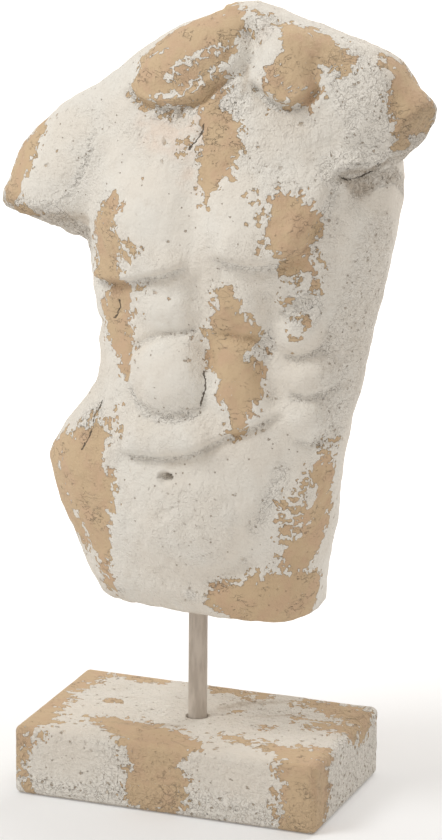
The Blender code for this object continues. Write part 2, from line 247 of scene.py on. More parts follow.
# %% [markdown]
# The torso is worked out in a sculptor's millimetres, with its flat underside at
# height 124 and the top of its neck at 497. First come the big masses. The trunk is
# a stack of sections, each nearly an ellipse, that a cubic joins from height to
# height. Arm stumps and shoulders are round limbs, the breaks are flat cuts, and a
# soft union runs them together as wet clay would. Each function gives the distance
# to its form for a whole array of points at once, and below zero is inside.

# %% Sections of the trunk
FOOT, CROWN = 124.0, 497.0
AXIS_X = 14.0

# height, left and right side, front and back of each section
SECTIONS = np.array([
    [110, -52, 81, -46, 46],
    [126, -60, 81, -50, 52],
    [145, -70.5, 81.5, -55, 59],
    [165, -78.5, 84.5, -58, 61],
    [185, -87.5, 89.5, -60, 57],
    [205, -92.5, 92.5, -60, 48],
    [213, -94, 94, -60, 45],
    [225, -88, 96, -60, 42],
    [240, -78.5, 99.5, -60, 39],
    [255, -67, 102, -59, 38],
    [270, -60.5, 106.5, -57, 40],
    [290, -61.5, 109, -55, 45],
    [310, -64, 112, -55, 51],
    [330, -67, 116, -57, 56],
    [350, -69.5, 120, -60, 59],
    [370, -73, 124, -60, 61],
    [390, -75, 126.5, -57, 61],
    [410, -74, 126, -52, 58],
    [430, -66, 121, -46, 54],
    [447, -56, 117, -40, 48],
    [460, -45, 112, -35, 43],
    [472, -30, 102, -29, 38],
    [484, -12, 80, -21, 30],
    [492, 5, 52, -12, 20],
    [497, 17, 30, -3, 8],
])


def smoothstep(x):
    """3x^2 - 2x^3 between 0 and 1, level outside."""
    x = np.clip(x, 0.0, 1.0)
    return x * x * (3.0 - 2.0 * x)


def blend(a, b, soft):
    """The lesser of two distances, rounded over `soft`: clay pressed into the joint."""
    h = np.clip(0.5 + 0.5 * (b - a) / soft, 0.0, 1.0)
    return b * (1.0 - h) + a * h - soft * h * (1.0 - h)


def pare(a, b, soft):
    """The greater of two distances, rounded over `soft`: an edge that is cut off."""
    return -blend(-a, -b, soft)


def section_at(z):
    """The sizes of the section at any height: a cubic Hermite curve through the rows."""
    heights, rows = SECTIONS[:, 0], SECTIONS[:, 1:]
    z = np.clip(z, heights[0], heights[-1])
    i = np.clip(np.searchsorted(heights, z) - 1, 0, len(heights) - 2)
    slope = np.gradient(rows, heights, axis=0)
    h = (heights[i + 1] - heights[i])[..., None]
    t = (z - heights[i])[..., None] / h
    return ((2 * t**3 - 3 * t**2 + 1) * rows[i] + (t**3 - 2 * t**2 + t) * h * slope[i]
            + (3 * t**2 - 2 * t**3) * rows[i + 1] + (t**3 - t**2) * h * slope[i + 1])


def trunk(p, power=2.25):
    """(|x/a|^n + |y/b|^n)^(1/n) - 1 times the smaller half width: n = 2 is an ellipse."""
    x_low, x_high, y_low, y_high = np.moveaxis(section_at(p[..., 2]), -1, 0)
    a, b = (x_high - x_low) / 2, (y_high - y_low) / 2
    x, y = p[..., 0] - (x_low + x_high) / 2, p[..., 1] - (y_low + y_high) / 2
    d = ((np.abs(x / a)**power + np.abs(y / b)**power)**(1 / power) - 1.0) * np.minimum(a, b)
    above = p[..., 2] - CROWN
    return np.where(above > 0, np.maximum(d, above), d)


print("sections:", len(SECTIONS), "from", SECTIONS[0, 0], "to", SECTIONS[-1, 0], "mm")

# %% Stumps, lobes and breaks
# a point on each broken face of the arms, and which way it faces
LEFT_BREAK = (-103, 0, 355), (-0.26, -0.36, -0.90)
RIGHT_BREAK = (143, -4, 440), (0.86, -0.28, -0.42)
UNDER_BREAK = (120, 0, 415), (0.18, -0.05, -0.98)


def far_off(offsets):
    """The length of each offset."""
    return np.linalg.norm(offsets, axis=-1)


def lump(p, centre, radii, turn):
    """Distance to an ellipsoid, k0 (k0 - 1) / k1, turned in the front view by `turn` degrees."""
    q = p - centre
    c, s = np.cos(np.radians(turn)), np.sin(np.radians(turn))
    q = np.stack([c * q[..., 0] + s * q[..., 2], q[..., 1], c * q[..., 2] - s * q[..., 0]], -1)
    r = np.array(radii)
    k0, k1 = far_off(q / r), far_off(q / r**2)
    return k0 * (k0 - 1.0) / np.maximum(k1, 1e-9)


def limb(p, start, end, thick, thin):
    """Distance to a line from start to end, less a radius that runs from thick to thin."""
    run = np.subtract(end, start)
    t = np.clip((p - start) @ run / (run @ run), 0.0, 1.0)
    return far_off(p - start - t[..., None] * run) - (thick + (thin - thick) * t)


def cut(p, point, facing):
    """Distance to the plane through `point` that faces `facing`."""
    return (p - point) @ np.divide(facing, np.linalg.norm(facing))


def masses(p):
    """Distance to the whole figure before its muscles."""
    d = trunk(p)
    for start, end, thick, thin in (((0, 4, 453), (-78, 2, 401), 32, 29),
                                    ((34, 6, 467), (103, 2, 448), 34, 33)):
        d = blend(d, limb(p, start, end, thick, thin), 12)
    arm = blend(limb(p, (-66, 2, 402), (-101, -2, 362), 37, 31),
                lump(p, (-89, 0, 385), (30, 31, 34), 40), 8)
    d = blend(d, pare(arm, cut(p, *LEFT_BREAK), 9), 8)
    arm = pare(limb(p, (92, 4, 441), (132, -1, 438), 38, 20), cut(p, *RIGHT_BREAK), 5)
    d = blend(d, pare(arm, cut(p, *UNDER_BREAK), 6), 8)
    d = blend(d, lump(p, (0, -12, 467), (43, 27, 22), 32), 4)
    d = blend(d, lump(p, (66, -10, 469), (26, 28, 22), -35), 4)
    d = pare(d, cut(p, (0, -50, 134), (-0.06, -0.55, -0.83)), 8)
    return pare(d, FOOT - p[..., 2], 7)


middle = np.array([AXIS_X, 0.0, 300.0])
print("the middle of the belly lies", round(-float(masses(middle)), 1), "mm inside")

# %% [markdown]
# A skin is a surface of two parameters: u goes once round the figure, v climbs from
# the middle of the underside to the top of the neck. From each (u, v) a ray sets out
# from a line inside the body, and the skin is where the ray leaves the masses. The
# rays tip from straight down to straight up as v grows, so one grid covers underside,
# flanks, stumps and neck with no seam. They lie closer together over the front,
# where the modelling is.

# %% Cast the skin
ROUND, UP = 330, 296
CORE_LOW, CORE_HIGH, CORE_LEAN = 185.0, 415.0, 26.0


def fan(u, v):
    """Foot and direction of each ray.

    The tilt runs from -90 degrees at v = 0 to a steady -28, holds it while the foot
    climbs the core, and goes on to +90 at v = 1. The turn is t - 0.35 sin(t - 0.25), t = 2 pi u.
    """
    low, high, steady = 0.13, 0.70, -28.0
    tilt = np.where(v < low, -90 + (90 + steady) * v / low,
                    np.where(v < high, steady, steady + (90 - steady) * (v - high) / (1 - high)))
    climb = np.clip((v - low) / (high - low), 0.0, 1.0)
    feet = np.stack([CORE_LEAN * smoothstep(climb), 0 * v, CORE_LOW + (CORE_HIGH - CORE_LOW) * climb], -1)
    turn = 2 * np.pi * u
    turn = turn - 0.35 * np.sin(turn - 0.25)
    c, s = np.cos(np.radians(tilt)), np.sin(np.radians(tilt))
    return feet, np.stack([np.sin(turn) * c, -np.cos(turn) * c, s], -1)


def cast(feet, rays, stride=8.0, reach=224.0):
    """Where each ray leaves the masses: strides outward, then twelve halvings."""
    inner, outer = np.zeros(rays.shape[:-1]), np.full(rays.shape[:-1], reach)
    inside = np.ones(rays.shape[:-1], bool)
    for far in np.arange(stride, reach, stride):
        gone = masses(feet[inside] + far * rays[inside]) > 0
        left = tuple(axis[gone] for axis in np.nonzero(inside))
        inner[left], outer[left], inside[left] = far - stride, far, False
    for _ in range(12):
        middle = (inner + outer) / 2
        gone = masses(feet + middle[..., None] * rays) > 0
        inner, outer = np.where(gone, inner, middle), np.where(gone, middle, outer)
    return feet + ((inner + outer) / 2)[..., None] * rays


def grid_normals(grid):
    """Cross product of the steps along u and along v, made one long; the poles look down and up."""
    across = np.roll(grid, -1, 1) - np.roll(grid, 1, 1)
    n = np.cross(across, np.gradient(grid, axis=0))
    n[0], n[-1] = (0, 0, -1), (0, 0, 1)
    return n / np.maximum(np.linalg.norm(n, axis=-1, keepdims=True), 1e-9)


v, u = np.meshgrid(np.linspace(0.0, 1.0, UP), np.arange(ROUND) / ROUND, indexing="ij")
bare_form = cast(*fan(u, v))
print("skin of", ROUND, "by", UP, "points, reaching",
      np.round(bare_form.reshape(-1, 3).min(0)), np.round(bare_form.reshape(-1, 3).max(0)), "mm")

# %% [markdown]
# The muscles are laid on as a modeller lays them: pats of clay, grooves drawn with a
# tool, and folds, which are grooves with one bank raised, such as the lower border of
# the breast. A place on the skin is named by an angle round the trunk, 0 in front and
# 90 on the viewer's right, and a height. Every stroke adds to one height map, which
# moves the skin along its normals at the end.

# %% Tools for modelling
DEGREE = 1.3                    # mm of skin that a degree round the trunk counts for


def fade(along, ends):
    """1 along the middle of a stroke, falling to 0 over the share `ends` of it at either end."""
    return smoothstep(along / ends) * smoothstep((1 - along) / ends)


class Clay:
    """The cast skin, and the height that the strokes add to it."""

    def __init__(self, grid):
        self.shape = grid.shape
        self.skin, self.out = grid.reshape(-1, 3), grid_normals(grid).reshape(-1, 3)
        self.height = np.zeros(len(self.skin))
        self.angle = np.degrees(np.arctan2(self.skin[:, 0] - AXIS_X, -self.skin[:, 1]))

    def at(self, angle, z):
        """Place and normal of the skin nearest to an angle and a height."""
        turn = (self.angle - angle + 180.0) % 360.0 - 180.0
        i = np.argmin((DEGREE * turn)**2 + (self.skin[:, 2] - z)**2)
        return self.skin[i], self.out[i]

    def oval(self, angle, z, wide, tall, turn):
        """r^2 = (x / wide)^2 + (y / tall)^2 in the skin's own plane, so 1 is the oval's rim."""
        centre, n = self.at(angle, z)
        along = np.cross((0, 0, 1), n)
        along /= np.linalg.norm(along)
        q = self.skin - centre
        x, y, deep = q @ along, q @ np.cross(n, along), q @ n
        c, s = np.cos(np.radians(turn)), np.sin(np.radians(turn))
        return ((c * x + s * y) / wide)**2 + ((c * y - s * x) / tall)**2 + 0.6 * (deep / (wide + tall))**2

    def dab(self, angle, z, wide, tall, high, edge=1.3, turn=0.0):
        """high * (1 - r^2)^edge inside an oval: a pat of clay, or a hollow below 0."""
        self.height += high * np.maximum(0.0, 1.0 - self.oval(angle, z, wide, tall, turn))**edge

    def stroke(self, places):
        """Distance to a Catmull-Rom line through the places, side of it, share of its length."""
        knots = np.array([self.at(*place)[0] for place in places])
        ends = np.vstack([2 * knots[0] - knots[1], knots, 2 * knots[-1] - knots[-2]])
        t = (np.arange(5) / 5)[:, None]
        line = np.vstack([0.5 * (2 * b + (c - a) * t + (2 * a - 5 * b + 4 * c - d) * t**2
                                 + (3 * b - a - 3 * c + d) * t**3)
                          for a, b, c, d in zip(ends, ends[1:], ends[2:], ends[3:])] + [knots[-1:]])
        length = np.concatenate([[0.0], np.cumsum(far_off(np.diff(line, axis=0)))])
        near = far_off(self.skin - line.mean(0)) < length[-1] / 2 + 80
        skin, out = self.skin[near], self.out[near]
        best = [np.full(len(skin), 1e9), np.zeros(len(skin)), np.zeros(len(skin))]
        for i, run in enumerate(np.diff(line, axis=0)):
            t = np.clip((skin - line[i]) @ run / (run @ run), 0.0, 1.0)
            off = skin - line[i] - t[:, None] * run
            far = far_off(off)
            nearer = far < best[0]
            side = (off * np.cross(out, run)).sum(1) / np.linalg.norm(run)
            along = (length[i] + t * (length[i + 1] - length[i])) / length[-1]
            best = [np.where(nearer, new, old) for new, old in zip((far, side, along), best)]
        return near, *best

    def groove(self, places, wide, deep, ends=0.2):
        """-deep * exp(-(distance / wide)^2), fading over its ends; a ridge where deep is below 0."""
        near, far, _, along = self.stroke(places)
        self.height[near] -= deep * fade(along, ends) * np.exp(-(far / wide)**2)

    def fold(self, places, high, reach, rise, hollow, ends=0.15):
        """On the left of its run, high * smoothstep(d / rise) * exp(-(d / reach)^2); a groove along it."""
        near, far, side, along = self.stroke(places)
        lift = smoothstep(far / rise) * np.exp(-(far / reach)**2) * (side > 0)
        low = np.exp(-(far / (0.6 * rise))**2)
        self.height[near] += fade(along, ends) * (high * lift - hollow * low)


clay = Clay(bare_form)
print("clay of", len(clay.skin), "points")

# %% Model the chest and neck
clay.dab(-34, 376, 44, 36, 4.5, 1.5)
clay.dab(34, 382, 40, 34, 4.5, 1.5)
clay.fold([(-76, 328), (-63, 330), (-44, 333), (-25, 339), (-8, 346), (0, 351), (5, 356)], 4.6, 14, 6, 1.9)
clay.fold([(12, 358), (27, 354), (40, 354), (50, 358), (56, 368), (60, 383), (64, 397), (69, 411)],
          5.2, 24, 8, 1.9, 0.12)
clay.dab(51, 372, 16, 18, 2.6, 1.6)
clay.dab(51, 378, 6, 6, 1.6)
clay.groove([(2, 430), (-1, 412), (0, 396), (2, 372), (4, 356)], 10, 2.5, 0.3)
clay.fold([(-68, 428), (-65, 409), (-67, 389), (-71, 369)], 1.8, 14, 4, 1.0, 0.2)
clay.fold([(66, 411), (72, 411), (78, 412), (84, 419)], 5.0, 10, 4, 2.6, 0.2)
clay.groove([(69, 412), (66, 424), (63, 438), (66, 452)], 9, 2.4, 0.3)
clay.groove([(67, 400), (64, 376), (63, 352), (61, 333)], 9, 3.0, 0.3)
clay.dab(74, 396, 19, 17, -6.0, 2.0)
clay.dab(75, 401, 9, 7, -3.0, 1.2)
clay.groove([(66, 411), (70, 408), (74, 407), (80, 410)], 2.6, 4.0)
clay.fold([(-66, 454), (-55, 445), (-42, 441), (-27, 442), (-12, 445), (2, 450), (11, 457), (22, 462),
           (34, 469)], 3.8, 13, 5, 3.0, 0.1)
clay.fold([(41, 465), (43, 458), (48, 452), (54, 448), (60, 450), (64, 457), (67, 464)],
          4.6, 13, 5, 3.2, 0.12)
clay.dab(-22, 437, 16, 9, -3.5, 1.6)
clay.dab(58, 443, 15, 9, -2.5, 1.6)
clay.dab(27, 450, 14, 20, -3.0, 2.0)
clay.groove([(58, 496), (49, 488), (44, 479), (37, 470), (33, 460)], 5, 5.5)
clay.groove([(-88, 437), (-69, 433), (-43, 425), (-15, 421)], 9, 1.8, 0.3)
print("chest modelled, highest pat", round(float(clay.height.max()), 1), "mm")

# %% Model the belly and flank
clay.dab(-16, 322, 24, 17, 3.2)
clay.fold([(7, 311), (-13, 307), (-28, 301), (-43, 290)], 2.5, 16, 5, 1.6)
clay.dab(-15, 281, 29, 25, 9.5, 1.1)
clay.groove([(-42, 280), (-37, 266), (-25, 258), (-12, 256), (2, 259), (9, 265), (11, 280)], 3.5, 1.4)
clay.groove([(4, 352), (3, 330), (6, 312), (10, 301), (12, 289), (14, 272)], 6, 3.0, 0.15)
clay.groove([(-40, 244), (-22, 243), (-1, 245), (17, 250)], 10, -4.5, 0.25)
clay.fold([(-40, 228), (-28, 229), (-9, 231), (7, 236), (21, 244)], 3.6, 14, 6, 1.9, 0.2)
clay.fold([(2, 234), (12, 239), (21, 244), (32, 251), (41, 256), (47, 260), (52, 265)],
          3.2, 13, 5, 2.4, 0.25)
clay.dab(29, 327, 22, 20, 3.0)
clay.fold([(43, 306), (35, 309), (25, 310), (15, 311)], 1.5, 14, 4, 1.4, 0.2)
clay.dab(30, 281, 22, 30, 5.5)
clay.groove([(40, 344), (44, 327), (45, 314), (44, 301), (42, 290), (45, 278), (50, 265)], 6, 3.4, 0.12)
for angle, z, wide, tall, tilt in ((56, 315, 19, 16, 20), (62, 288, 20, 15, 8), (59, 260, 17, 15, 0)):
    clay.dab(angle, z, wide, tall, 5.5, 1.4, tilt)
for places in ([(48, 302), (55, 297), (61, 300), (70, 307)], [(49, 277), (58, 273), (65, 275), (75, 280)],
               [(53, 249), (57, 244), (62, 243), (72, 246)], [(45, 318), (50, 326), (55, 333), (62, 339)]):
    clay.groove(places, 2.8, 1.9, 0.25)
clay.dab(-4, 194, 52, 44, 5.0)
clay.groove([(52, 246), (51, 233), (49, 220), (47, 208)], 10, 1.1)
clay.groove([(47, 216), (45, 204), (41, 193), (35, 183)], 4.5, 1.5)
clay.groove([(44, 170), (32, 164), (20, 156), (11, 143)], 8, 3.4, 0.25)
clay.dab(60, 145, 44, 24, 3.5)
clay.dab(60, 205, 16, 26, 3.0)
clay.dab(-11, 219, 5.5, 3.2, -4.5, 0.9)
clay.dab(-10, 219.5, 3.4, 2.0, -3.5, 0.7)
for places in ([(-78, 268), (-62, 262), (-50, 250)], [(-82, 343), (-70, 336), (-60, 331)],
               [(-84, 303), (-72, 300), (-60, 300)]):
    clay.groove(places, 6, 2.0, 0.3)
print("belly modelled, deepest groove", round(float(clay.height.min()), 1), "mm")

# %% Model the back
clay.groove([(161, 445), (168, 400), (168, 340), (167, 290), (184, 240), (195, 213)], 11, 7.5)
clay.groove([(195, 208), (191, 165), (184, 128)], 8, 9.0, 0.12)
for blade, inner, loin, seat in ((138, 152, (148, 146, 160), 151), (208, 192, (188, 192, 210), 224)):
    clay.dab(blade, 396, 34, 42, 7.5, 1.2)
    clay.groove([(inner, 430), (inner, 395), ((2 * blade + inner) / 3, 356)], 7, 4.0, 0.3)
    clay.groove(list(zip(loin, (340, 290, 235))), 11, -5.0, 0.3)
    clay.dab(seat, 168, 44, 44, 9.0, 1.2)
print("back modelled")

# %% [markdown]
# The plaster was brushed on thick and roughly. Its unevenness is noise: random
# numbers on a lattice with smooth steps between them, coarse for the strokes of the
# brush and finer where the coat is crumbly. A second set of fields says where things
# are, in millimetres or from 0 to 1, and the finish reads them later: `bare` is above
# 0 where the plaster has come off, `crumbly` where it is rough, `netted` where thin
# veins of it are left on the bare casting, `blush` where it has a pink cast, the dirt
# field where dirt sits and where shade is painted into creases, hollows, the
# underside and the right flank. `crack_side` is the distance to a crack, and `crack`
# is 1 beside it.

# %% Noise for the coat
def lattice(p, size, seed):
    """Random numbers on a cubic lattice `size` apart, joined by smoothstep along x, y and z."""
    table = np.random.default_rng(seed).random((32, 32, 32))
    cell = p / size
    base = np.floor(cell).astype(int)
    f = smoothstep(cell - base)
    total = np.zeros(len(p))
    for corner in np.ndindex(2, 2, 2):
        i, j, k = ((base + corner) % 32).T
        total += table[i, j, k] * np.prod(np.where(corner, f, 1.0 - f), axis=1)
    return total - 0.5


def cloud(p, size, seed, octaves=3):
    """Sum of lattices, each half the size and half the strength of the last: about -0.5 to 0.5."""
    return sum(lattice(p, size / 2**i, seed + i) / 2**i for i in range(octaves)) / 1.5


def hollows(height, shape, reach):
    """How far a height map lies below its own mean over `reach` points each way, in mm."""
    grid = np.pad(height.reshape(shape), ((reach, reach), (0, 0)), mode="edge")
    grid = np.concatenate([grid[:, -reach:], grid, grid[:, :reach]], 1)
    total = np.pad(grid.cumsum(0).cumsum(1), ((1, 0), (1, 0)))
    w = 2 * reach + 1
    mean = (total[w:, w:] - total[:-w, w:] - total[w:, :-w] + total[:-w, :-w]) / w**2
    return (mean - height.reshape(shape)).ravel()


def inside(rows):
    """Millimetres inside the nearest row of discs, each (angle, height, radius), joined into a band."""
    best = np.full(len(clay.skin), -40.0)
    for row in rows:
        if len(row) == 1:
            angle, z, radius = row[0]
            best = np.maximum(best, radius - far_off(clay.skin - clay.at(angle, z)[0]))
        else:
            near, far, _, along = clay.stroke([(angle, z) for angle, z, _ in row])
            wide = np.interp(along, np.linspace(0, 1, len(row)), [radius for *_, radius in row])
            best[near] = np.maximum(best[near], wide - far)
    return best


def around(rows, width, rim=0.5, most=1.0):
    """`rim` on the border of the rows of discs, 1 more for every `width` mm inside, 0 to `most`."""
    return np.clip(inside(rows) / width + rim, 0.0, most)


sample = cloud(clay.skin, 24, 1)
print("noise from", round(float(sample.min()), 2), "to", round(float(sample.max()), 2))

# %% Where the plaster is off, rough, pink, dirty or cracked
patches = inside([
    [(-47, 453, 11), (-35, 465, 16), (-16, 478, 20), (9, 490, 16), (37, 496, 9)],
    [(-56, 468, 8), (-42, 479, 10), (-27, 489, 12), (-12, 496, 12), (30, 499, 8)],
    [(-34, 452, 10), (-10, 457, 10), (9, 465, 9)], [(80, 490, 6), (77, 478, 5)],
    [(70, 493, 8), (66, 485, 12), (59, 474, 15), (54, 465, 14), (60, 462, 11)], [(73, 481, 9), (76, 475, 7)],
    [(3, 451, 4), (8, 442, 5), (14, 435, 9), (18, 427, 14), (16, 418, 12), (15, 409, 10), (12, 399, 5),
     (10, 394, 2)],
    [(-87, 420, 5), (-82, 410, 9), (-80, 398, 11), (-80, 385, 11), (-79, 374, 7)],
    [(88, 474, 6), (89, 466, 12), (85, 455, 16), (84, 445, 16), (82, 432, 9)],
    [(-47, 385, 3), (-48, 376, 5), (-50, 366, 10), (-51, 354, 13), (-51, 344, 12), (-49, 336, 9)],
    [(-48, 325, 11), (-51, 313, 12), (-49, 300, 11), (-46, 290, 7), (-44, 281, 3)],
    [(46, 395, 4), (50, 387, 14), (51, 378, 15), (51, 368, 13), (51, 361, 8), (50, 355, 4)],
    [(23, 338, 3), (23, 329, 8), (25, 319, 13), (26, 309, 16), (28, 298, 16), (30, 286, 15),
     (31, 275, 13), (30, 266, 9), (30, 259, 6), (29, 252, 3)],
    [(-48, 237, 6), (-55, 225, 16), (-55, 214, 21), (-52, 204, 22), (-51, 190, 19), (-51, 180, 14),
     (-52, 168, 10), (-52, 158, 6), (-53, 148, 4), (-54, 138, 3)],
    [(-70, 224, 8), (-72, 211, 12), (-70, 197, 13), (-67, 183, 11), (-62, 166, 7)],
    [(61, 220, 3), (59, 212, 5), (56, 203, 6), (57, 193, 6), (56, 184, 4)],
    [(71, 241, 3), (71, 233, 6), (71, 224, 9), (71, 215, 9), (70, 205, 11), (70, 195, 13), (70, 186, 14),
     (68, 178, 15), (64, 169, 13), (57, 165, 6)],
    [(29, 140, 12), (42, 141, 15), (56, 143, 17), (67, 145, 15)], [(40, 130, 12), (66, 130, 12)],
    [(130, 430, 12), (126, 405, 16), (134, 380, 7)], [(-150, 330, 13), (-146, 300, 9)],
    [(200, 178, 12), (222, 160, 18), (236, 150, 8)], [(150, 240, 9), (146, 222, 12)],
    [(172, 470, 10), (190, 462, 8)],
])
islands = inside([
    [(-9, 419, 3), (-5, 421, 2)], [(-77, 371, 3), (-75, 367, 2)], [(-34, 360, 4)], [(-35, 355, 3)],
    [(-57, 373, 2)], [(-41, 382, 2)], [(-32, 332, 2)], [(-35, 324, 2)], [(-64, 298, 2)], [(40, 385, 3)],
    [(42, 370, 3)], [(38, 396, 2)], [(58, 354, 6)], [(52, 348, 3)], [(60, 343, 3)],
    [(50, 334, 2)], [(58, 322, 2)],
    [(54, 314, 3), (53, 310, 2)], [(44, 301, 2)], [(18, 338, 2)], [(-44, 254, 3), (-41, 244, 2)],
    [(-64, 231, 3)], [(-59, 235, 3)], [(-57, 246, 2)], [(-41, 217, 2)],
])
bare = np.maximum(patches + 1.6, islands)
kept = inside([
    [(62, 497, 5), (62, 492, 9), (56, 485, 7), (50, 479, 4)], [(67, 214, 2), (63, 205, 3)],
    [(71, 196, 2)], [(66, 192, 2)], [(62, 182, 2)], [(36, 300, 2), (41, 303, 2)]])
bare = np.minimum(bare, np.where(kept > -3.0, 0.4 - 1.6 * kept, 40.0))
netted = around([
    [(-29, 460, 5), (-19, 468, 6), (-5, 473, 6), (9, 478, 5), (25, 483, 5), (36, 487, 5)],
    [(-37, 449, 4), (-25, 452, 6), (-10, 457, 7), (5, 463, 7), (23, 470, 5)], [(-53, 471, 3), (-37, 477, 4)],
    [(54, 475, 2), (52, 466, 4), (57, 461, 4), (62, 461, 3), (67, 469, 2)],
    [(61, 222, 5), (59, 212, 8), (56, 203, 9), (57, 193, 9), (56, 182, 6)], [(-52, 258, 5), (-60, 246, 10)],
    [(-53, 146, 6)]], 4)
creases = hollows(clay.height, clay.shape[:2], 3)
shoulder = around([[(62, 492, 12)], [(76, 474, 15), (74, 453, 20), (74, 435, 16)]], 14, most=0.72)
crumbly = around([
    [(27, 451, 14)], [(66, 412, 12), (77, 413, 12), (84, 422, 10)], [(50, 226, 5), (43, 197, 5)],
    [(1, 143, 6)], [(-48, 138, 6)], [(-71, 369, 10), (-78, 372, 8)],
    [(-28, 262, 5), (-12, 257, 5), (2, 260, 5)], [(-56, 245, 13)], [(-50, 330, 8)], [(56, 330, 13)],
    [(34, 302, 8), (42, 306, 9)], [(-52, 444, 6), (-30, 441, 6), (-8, 445, 6)]], 14)
calm = around([
    [(-24, 385, 24), (-8, 380, 20)], [(24, 392, 22)], [(-16, 320, 14)], [(-14, 285, 16)],
    [(-50, 405, 16)]], 12, 0.4)
crumbly = np.maximum(crumbly, 0.34 + 0.6 * cloud(clay.skin, 50, 3, 2) - 0.35 * calm)
# The right flank, turned from the key light, is rougher here, and is darkened through the dirt field as
# painted shade.
worn_and_shaded_flank = around([[(80, 370, 26), (80, 330, 32), (76, 290, 34), (72, 250, 24)]], 20, 0.0, 0.62)
groin = around([[(4, 190, 34)], [(50, 222, 14), (40, 190, 14)]], 18, 0.0, 0.52)
crumbly = np.maximum.reduce([crumbly, shoulder, worn_and_shaded_flank, groin]) + 0.35 * np.clip(creases, 0.0, 1.2)
crumbly = np.clip(crumbly, 0.0, 1.0)
blush = around([[(-37, 430, 12), (-5, 428, 14), (12, 440, 9)], [(60, 490, 7)], [(0, 404, 8)]], 12)
print("bare share of the skin:", round(float((bare > 0).mean()), 2))

# %% Breaks, cracks, dirt and painted shade
def broken(point, facing, reach=62.0, deep=4.0):
    """1 on a flat break: within `deep` of its plane, and no further than `reach` from its point."""
    off = np.abs(cut(clay.skin, point, facing))
    return smoothstep((deep - off) / 2.5) * smoothstep((reach - far_off(clay.skin - point)) / 12.0)


def split(lines):
    """Signed distance to the nearest crack, and 1 beside it, fading over the ends."""
    nearest, side_of, beside = (np.full(len(clay.skin), start) for start in (99.0, 99.0, 0.0))
    for line in lines:
        near, far, side, along = clay.stroke(line)
        strength = fade(along, 0.12) * smoothstep((5 - far) / 2)
        closer = far < nearest[near]
        nearest[near] = np.where(closer, far, nearest[near])
        side_of[near] = np.where(closer, side, side_of[near])
        beside[near] = np.where(closer, strength, beside[near])
    return nearest, side_of, beside


breaks = np.maximum.reduce([
    broken(*LEFT_BREAK, deep=7.5), broken(*RIGHT_BREAK), broken((124, -14, 415), UNDER_BREAK[1], 36.0)])
crack_far, crack_side, crack = split([
    [(9, 288), (11, 280), (10, 273), (8, 264)],
    [(-57, 258), (-56, 251), (-54, 241)],
    [(-54, 240), (-55, 233), (-57, 226)],
    [(5, 437), (2, 429), (-6, 420)],
    [(-47, 323), (-49, 317), (-53, 309)],
    [(68, 410), (71, 408), (75, 408), (80, 411)],
])
out = clay.out
# Painted shade: the more the masses close round a point within 10 mm, the darker it is painted.
painted_occlusion = 1.0 - masses(clay.skin + 10.0 * out) / 10.0
# Painted shade in hollows: under both neck lobes and between them, in the armpit, in the navel and where the
# left arm meets the chest.
shaded_corners = around([
    [(-20, 440, 5)], [(38, 470, 4), (36, 458, 4)], [(61, 448, 3)], [(70, 406, 4), (77, 408, 4)],
    [(-11, 219, 2)], [(71, 404, 5), (76, 400, 7)], [(-79, 371, 5), (-74, 366, 7), (-68, 366, 6)],
], 6, 0.3, 0.9)
# Painted shade on the torso's underside, its lowest 6 mm over the block.
underside_shade = smoothstep((FOOT + 6.0 - clay.skin[:, 2]) / 5.0)
# The dirt field: dirt on the breaks, with painted shade in the creases, the shut-in places, the hollows, the
# underside and the right flank.
grime_and_shade = np.clip(0.15 * creases + 0.12 * np.clip(painted_occlusion - 0.3, 0, 1) + 0.7 * breaks, 0.0, 1.0)
grime_and_shade = np.maximum.reduce([grime_and_shade, shaded_corners, 0.75 * underside_shade, 0.6 * worn_and_shaded_flank])
print("breaks cover", round(float((breaks > 0.5).mean()), 3), "of the skin")

# %% [markdown]
# The coat, the cracks and the breaks now move the skin too, so that they are real
# shape and not only shading. Then the skin leaves the sculptor's millimetres: its
# height is fitted to the solid's, its sides are kept inside the solid's box, and the
# rows round its lower pole turn up into the socket that the rod stands in.

# %% Bring the torso to its place
RELIEF = 1.25                   # how strongly the strokes stand out
crumbly = np.maximum(crumbly, breaks)
wave = 1.2 * cloud(clay.skin, 26, 11, 2) + 1.3 * cloud(clay.skin, 9, 21, 2)
rubble = crumbly * (1.9 * cloud(clay.skin, 8, 31, 2) + 2.5 * cloud(clay.skin, 4.6, 41, 1))
ruin = breaks * (4.0 * cloud(clay.skin, 13, 51, 3) - 0.5)
fine = RELIEF * clay.height + wave + rubble + ruin - 0.7 * crack * np.exp(-(crack_far / 1.5)**2)
fine -= 0.35 * smoothstep(bare / 4 + 0.5)

skin = (clay.skin + out * fine[:, None]).reshape(clay.shape)
skin[0], skin[-1] = skin[0].mean(0), skin[-1].mean(0)
span = torso_high[2] - torso_low[2]
skin = (skin - (0, 0, FOOT)) * (span / (skin[..., 2].max() - FOOT)) + (0, 0, torso_low[2])
skin = np.clip(skin, torso_low, torso_high)

SOCKET_RADIUS, SOCKET_DEPTH, SOCKET_ROWS = 0.0066, 0.0456, 5
angle_round = np.arctan2(skin[SOCKET_ROWS + 2, :, 1], skin[SOCKET_ROWS + 2, :, 0])
for row, (share, depth) in enumerate([(0.0, 1.0), (1.0, 1.0), (1.0, 0.5), (1.0, 0.0), (1.15, 0.0)]):
    skin[row, :, 0] = SOCKET_RADIUS * share * np.cos(angle_round)
    skin[row, :, 1] = SOCKET_RADIUS * share * np.sin(angle_round)
    skin[row, :, 2] = torso_low[2] + SOCKET_DEPTH * depth
print("torso, mm:", np.round((skin.reshape(-1, 3).max(0) - skin.reshape(-1, 3).min(0)) / MM, 1))

